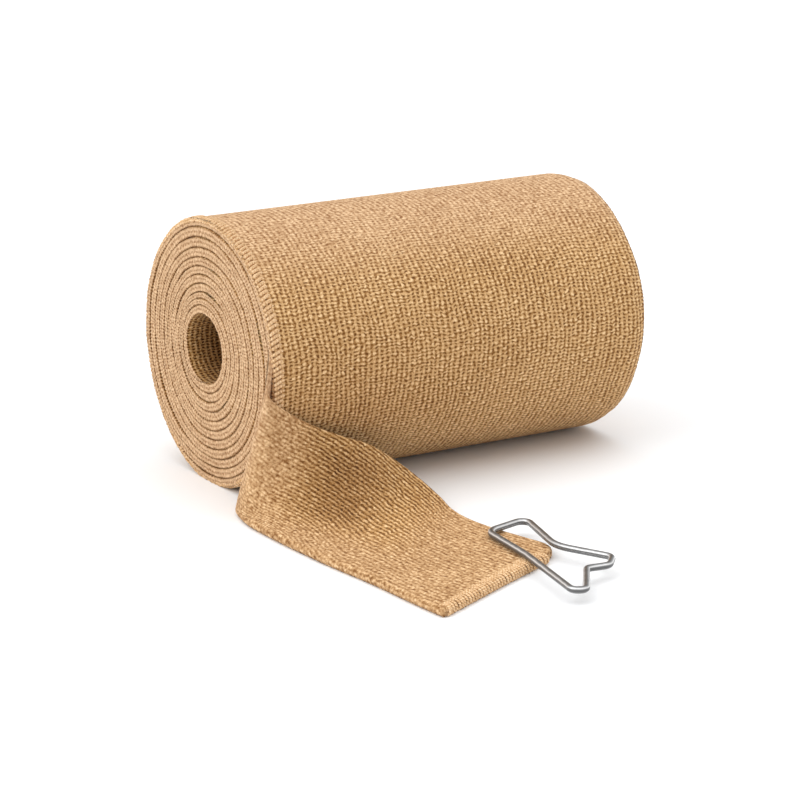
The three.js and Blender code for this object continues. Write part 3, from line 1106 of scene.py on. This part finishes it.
def knit_material(name, look):
    """The bandage's knit: a net that turns into loose grains where it wears, and is calm on selvages."""
    n = Nodes(name)
    wales, courses, selvage = n.split(n.vectors("knit"))
    cloth = n.vectors("cloth")
    wear_and_sheen = n.values("wear_and_sheen")
    ribs, rows = swayed(n, wales, courses, look["row_pitch"])
    patch = n.noise(n.join(wales, courses), PATCH_SCALE)
    net = knit_net(n, ribs, rows, patch, look)
    grains = n.scaled(n.grains(cloth, look["grain"], GRAIN_SOFTNESS), *GRAIN_HEIGHT)
    net = n.plus(net, n.times(wear_and_sheen, n.minus(grains, net)))
    fibre = n.noise(cloth, *FIBRE_NOISE)
    height = n.plus(n.scaled(net, *NET_HEIGHT), n.scaled(fibre, *FIBRE_HEIGHT))
    calm = n.times(n.minus(CALM_LEVEL, height), n.times(selvage, CALM_SHARE))
    height = n.plus(height, calm)
    # The tone goes dark into the holes and pale on the stitch tops: painted shade and painted highlight.
    tone = n.plus(height, n.scaled(patch, *PATCH_TONE))
    stitch = n.random(n.nearest(ribs), n.nearest(rows))
    tone = n.plus(tone, n.times(n.scaled(stitch, *STITCH_TONE), net))
    # Selvages are pale, and wear pales the knit further as a painted sheen.
    paleness = n.math("MAXIMUM", n.times(selvage, SELVAGE_PALENESS), n.times(wear_and_sheen, look["wear_and_sheen_pale"]))
    colour = n.mix(paleness, n.ramp(tone, KNIT_STOPS), n.ramp(tone, PALE_STOPS))
    # The shade attribute mixes in painted shade.
    colour = n.mix(n.values("shade"), n.mix(1.0, colour, SHADE_COLOUR, "MULTIPLY"), colour)
    n.feed(n.shader.inputs["Base Color"], colour)
    n.shader.inputs["Roughness"].default_value = 0.95
    n.shader.inputs["Specular IOR Level"].default_value = 0.1
    n.shader.inputs["Sheen Weight"].default_value = look["sheen"]
    n.shader.inputs["Sheen Roughness"].default_value = 0.5
    n.shader.inputs["Sheen Tint"].default_value = SHEEN_COLOUR
    coarse = n.bump(height, KNIT_BUMP)
    n.feed(n.shader.inputs["Normal"], n.bump(n.noise(cloth, *FINE_NOISE), *FINE_BUMP, coarse))
    return n.material


def yarn_material():
    """The thicker yarn of the overlocked edges, with a twist."""
    n = Nodes("overlock_yarn")
    along, around, number = n.split(n.vectors("yarn"))
    twist = n.wave(n.plus(n.times(along, YARN_TWIST), around))
    uneven = n.noise(n.join(along, number, around), *YARN_NOISE)
    tone = n.plus(n.times(twist, TWIST_SHARE), n.scaled(uneven, *YARN_TONE))
    n.feed(n.shader.inputs["Base Color"], n.ramp(tone, YARN_STOPS))
    n.shader.inputs["Roughness"].default_value = 0.9
    n.shader.inputs["Specular IOR Level"].default_value = 0.15
    n.shader.inputs["Sheen Weight"].default_value = 0.05
    n.feed(n.shader.inputs["Normal"], n.bump(twist, YARN_BUMP))
    return n.material


def steel_material():
    """The wire's steel, drawn lengthwise and a little smudged, with painted highlight and shade in bands
    round it.
    """
    n = Nodes("clip_steel")
    along, around, _ = n.split(n.vectors("knit"))
    drawn = n.noise(stretched(n, along, around, DRAWN_STRETCH), *DRAWN_NOISE)
    smudge = n.noise(n.join(along, n.times(around, SMUDGE_STRETCH)), *SMUDGE_NOISE)
    # Painted highlight and shade, by how far up the wire's round each point lies.
    upness = n.wave(n.minus(around, 0.25))
    place = n.plus(upness, n.scaled(smudge, *SMUDGE_SHIFT))
    greys = [(at, linear(grey, grey, grey)) for at, grey in WIRE_PAINTED_LIGHT_GREYS]
    n.feed(n.shader.inputs["Base Color"], n.ramp(place, greys))
    n.shader.inputs["Metallic"].default_value = 0.35
    n.feed(n.shader.inputs["Roughness"], n.scaled(drawn, *DRAWN_ROUGHNESS))
    n.feed(n.shader.inputs["Normal"], n.bump(drawn, *DRAWN_BUMP))
    return n.material


# The studio: half the floor's side in metres, and the way towards each sun, its strength and its spread.
FLOOR_HALF = 6.0
WORLD_STRENGTH = 0.8
SUNS = {
    "key_light": ((-0.75, 0.12, 0.65), 1.0, 50),
    "top_light": ((0.1, 0.0, 1.0), 1.35, 80),
}


def add_floor():
    """The pale floor that the bandage lies on."""
    mesh = bpy.data.meshes.new("studio_floor")
    corners = [(x * FLOOR_HALF, y * FLOOR_HALF, 0) for x, y in ((-1, -1), (1, -1), (1, 1), (-1, 1))]
    mesh.from_pydata(corners, [], [(0, 1, 2, 3)])
    floor = bpy.data.objects.new("studio_floor", mesh)
    bpy.context.scene.collection.objects.link(floor)
    pale = Nodes("pale_floor")
    pale.shader.inputs["Base Color"].default_value = (0.9, 0.91, 0.922, 1)
    pale.shader.inputs["Roughness"].default_value = 0.6
    pale.shader.inputs["Specular IOR Level"].default_value = 0.1
    mesh.materials.append(pale.material)


def add_world():
    """An even white light from all round."""
    world = bpy.data.worlds.new("studio_world")
    world.use_nodes = True
    background = world.node_tree.nodes["Background"]
    background.inputs["Color"].default_value = (1, 1, 1, 1)
    background.inputs["Strength"].default_value = WORLD_STRENGTH
    bpy.context.scene.world = world
    bpy.context.scene.view_settings.view_transform = "Standard"


def add_suns():
    """The key light from the left and a wide light from above."""
    for name, (towards, strength, spread) in SUNS.items():
        light = bpy.data.lights.new(name, "SUN")
        light.energy = strength
        light.angle = math.radians(spread)
        lamp = bpy.data.objects.new(name, light)
        lamp.rotation_euler = (-Vector(towards)).to_track_quat("-Z", "Y").to_euler()
        bpy.context.scene.collection.objects.link(lamp)


def add_camera():
    """The photo's camera, looking at CAMERA_TARGET from CAMERA_DISTANCE away."""
    azimuth, elevation = math.radians(CAMERA_AZIMUTH), math.radians(CAMERA_ELEVATION)
    level = math.cos(elevation)
    back = Vector((math.sin(azimuth) * level, -math.cos(azimuth) * level, math.sin(elevation)))
    data = bpy.data.cameras.new("photo_camera")
    data.lens = CAMERA_LENS
    data.sensor_width = SENSOR_WIDTH
    data.clip_start = CAMERA_NEAREST
    camera = bpy.data.objects.new("photo_camera", data)
    camera.location = (Vector(CAMERA_TARGET) + back * CAMERA_DISTANCE) * MM
    camera.rotation_euler = (-back).to_track_quat("-Z", "Y").to_euler()
    bpy.context.scene.collection.objects.link(camera)
    bpy.context.scene.camera = camera


def finish_piece(piece, material):
    """Give a piece its only material."""
    piece.data.materials.clear()
    piece.data.materials.append(material)
    return piece


def build():
    """The studio, then every piece with its material."""
    add_camera()
    add_floor()
    add_world()
    add_suns()
    knit = knit_material("bandage_knit", OUTER_KNIT)
    inner_knit = knit_material("inner_turns_knit", INNER_KNIT)
    tail_knit = knit_material("loose_end_knit", TAIL_KNIT)
    yarn = yarn_material()
    inner = winding_strip("roll_inner_turns", 0.0, OUTER_START, 0, 0.0)
    outer = winding_strip("roll_outer_turn", OUTER_START, TURNS + RAMP_SHARE, OUTER_CELLS, RELIEF)
    finish_piece(inner, inner_knit)
    finish_piece(outer, knit)
    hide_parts("bandage_roll")
    tail = finish_piece(loose_end(), tail_knit)
    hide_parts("loose_end")
    finish_piece(rim_stitches(), yarn)
    finish_piece(cut_stitches(), yarn)
    clip = finish_piece(wire_clip(), steel_material())
    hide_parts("wire_clip")


build()
